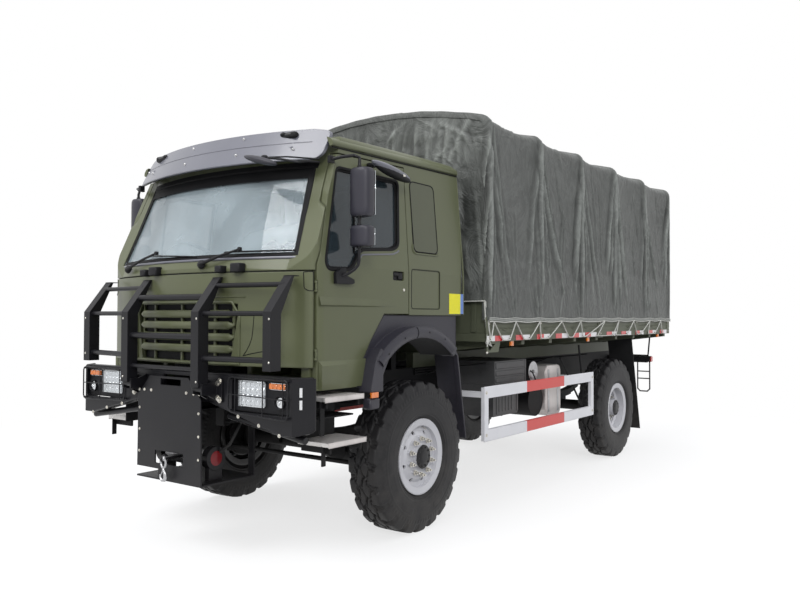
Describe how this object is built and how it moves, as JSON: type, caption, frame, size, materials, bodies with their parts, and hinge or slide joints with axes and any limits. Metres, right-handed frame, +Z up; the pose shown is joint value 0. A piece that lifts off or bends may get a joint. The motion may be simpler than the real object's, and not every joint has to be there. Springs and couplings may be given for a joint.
{
  "type": "military cargo truck",
  "caption": "Two-axle off-road cargo truck: forward-control cab with bull bar and winch, canvas-covered load bed; wheels, steering, doors and tailgate move.",
  "frame": {"origin": "middle of the truck's length and width, on the ground under the tyres", "axes": "+Z up, the truck faces -Y, its left side is +X"},
  "size_m": [2.702, 7.595, 3.6398],
  "materials": {
    "olive_paint": "semi-gloss olive vehicle paint",
    "black_coat": "satin charcoal coating",
    "chassis_paint": "dark chassis paint",
    "grey_plastic": "grained grey plastic",
    "black_plastic": "grained black plastic",
    "clear_glass": "clear safety glass",
    "lamp_glass": "moulded clear lamp cover",
    "amber_plastic": "amber lens",
    "red_plastic": "red lens",
    "steel_wire": "zinc plated steel",
    "tyre_rubber": "black tyre rubber",
    "flap_rubber": "black rubber sheet",
    "rim_paint": "silver rim paint",
    "aluminium_tread": "bright checker plate",
    "tank_alloy": "satin sheet",
    "white_paint": "white paint with red bands",
    "canvas": "proofed grey-green canvas",
    "cushion": "woven seat cloth"
  },
  "bodies": {
    "truck": {"chassis_frame": "chassis_paint", "front_axle": "chassis_paint", "rear_axle": "chassis_paint", "leaf_springs": "chassis_paint", "powertrain": "chassis_paint", "front_bumper": "black_coat", "winch_guard": "black_coat", "winch": "steel_wire", "bull_bar": "black_coat", "headlamps": "lamp_glass", "marker_lamps": "amber_plastic", "tail_lamps": "red_plastic", "cab_shell": "olive_paint", "front_panel": "olive_paint", "windscreen": "clear_glass", "dashboard": "black_plastic", "seats": "cushion", "sun_visor": "grey_plastic", "cab_fenders": "black_plastic", "cab_steps": "chassis_paint", "step_treads": "aluminium_tread", "rear_mudguards": "flap_rubber", "side_guards": "white_paint", "fuel_tank": "tank_alloy", "battery_box": "black_plastic", "air_tanks": "chassis_paint", "cargo_bed": "olive_paint", "side_boards": "olive_paint", "canopy_bows": "olive_paint", "canopy": "canvas", "rear_bumper": "chassis_paint"},
    "front_left_wheel": {"tyre_front_left": "tyre_rubber", "rim_front_left": "rim_paint"},
    "rear_left_wheel": {"tyre_rear_left": "tyre_rubber", "rim_rear_left": "rim_paint"},
    "left_knuckle": {"knuckle_left": "chassis_paint"},
    "left_door": {"door_left": "olive_paint", "door_glass_left": "clear_glass", "mirrors_left": "black_plastic"},
    "front_right_wheel": {"tyre_front_right": "tyre_rubber", "rim_front_right": "rim_paint"},
    "rear_right_wheel": {"tyre_rear_right": "tyre_rubber", "rim_rear_right": "rim_paint"},
    "right_knuckle": {"knuckle_right": "chassis_paint"},
    "right_door": {"door_right": "olive_paint", "door_glass_right": "clear_glass", "mirrors_right": "black_plastic"},
    "track_rod": {"tie_rod": "chassis_paint"},
    "tailboard": {"tailgate": "olive_paint"}
  },
  "joints": [
    {"name": "steer_left", "type": "hinge", "parent": "truck", "child": "left_knuckle", "pos_m": [0.8, -2.1575, 0.594], "axis": [0, 0, 1], "range_deg": [-32, 32]},
    {"name": "front_left_spin", "type": "hinge", "parent": "left_knuckle", "child": "front_left_wheel", "pos_m": [1.01, -2.1575, 0.594], "axis": [1, 0, 0], "continuous": true},
    {"name": "rear_left_spin", "type": "hinge", "parent": "truck", "child": "rear_left_wheel", "pos_m": [1.01, 2.0425, 0.594], "axis": [1, 0, 0], "continuous": true},
    {"name": "left_door_hinge", "type": "hinge", "parent": "truck", "child": "left_door", "pos_m": [1.12, -3.3655, 1.6], "axis": [0, 0, -1], "range_deg": [0, 62]},
    {"name": "steer_right", "type": "hinge", "parent": "truck", "child": "right_knuckle", "pos_m": [-0.8, -2.1575, 0.594], "axis": [0, 0, 1], "range_deg": [-32, 32]},
    {"name": "front_right_spin", "type": "hinge", "parent": "right_knuckle", "child": "front_right_wheel", "pos_m": [-1.01, -2.1575, 0.594], "axis": [1, 0, 0], "continuous": true},
    {"name": "rear_right_spin", "type": "hinge", "parent": "truck", "child": "rear_right_wheel", "pos_m": [-1.01, 2.0425, 0.594], "axis": [1, 0, 0], "continuous": true},
    {"name": "right_door_hinge", "type": "hinge", "parent": "truck", "child": "right_door", "pos_m": [-1.12, -3.3655, 1.6], "axis": [0, 0, 1], "range_deg": [0, 62]},
    {"name": "track_rod_swivel", "type": "hinge", "parent": "left_knuckle", "child": "track_rod", "pos_m": [0.8, -2.4075, 0.524], "axis": [0, 0, 1], "range_deg": [-32, 32]},
    {"name": "tailboard_hinge", "type": "hinge", "parent": "truck", "child": "tailboard", "pos_m": [0, 3.7805, 1.536], "axis": [-1, 0, 0], "range_deg": [0, 178]}
  ],
  "couplings": [
    {"joint": "steer_right", "follows": "steer_left", "ratio": 1},
    {"joint": "track_rod_swivel", "follows": "steer_left", "ratio": -1}
  ]
}
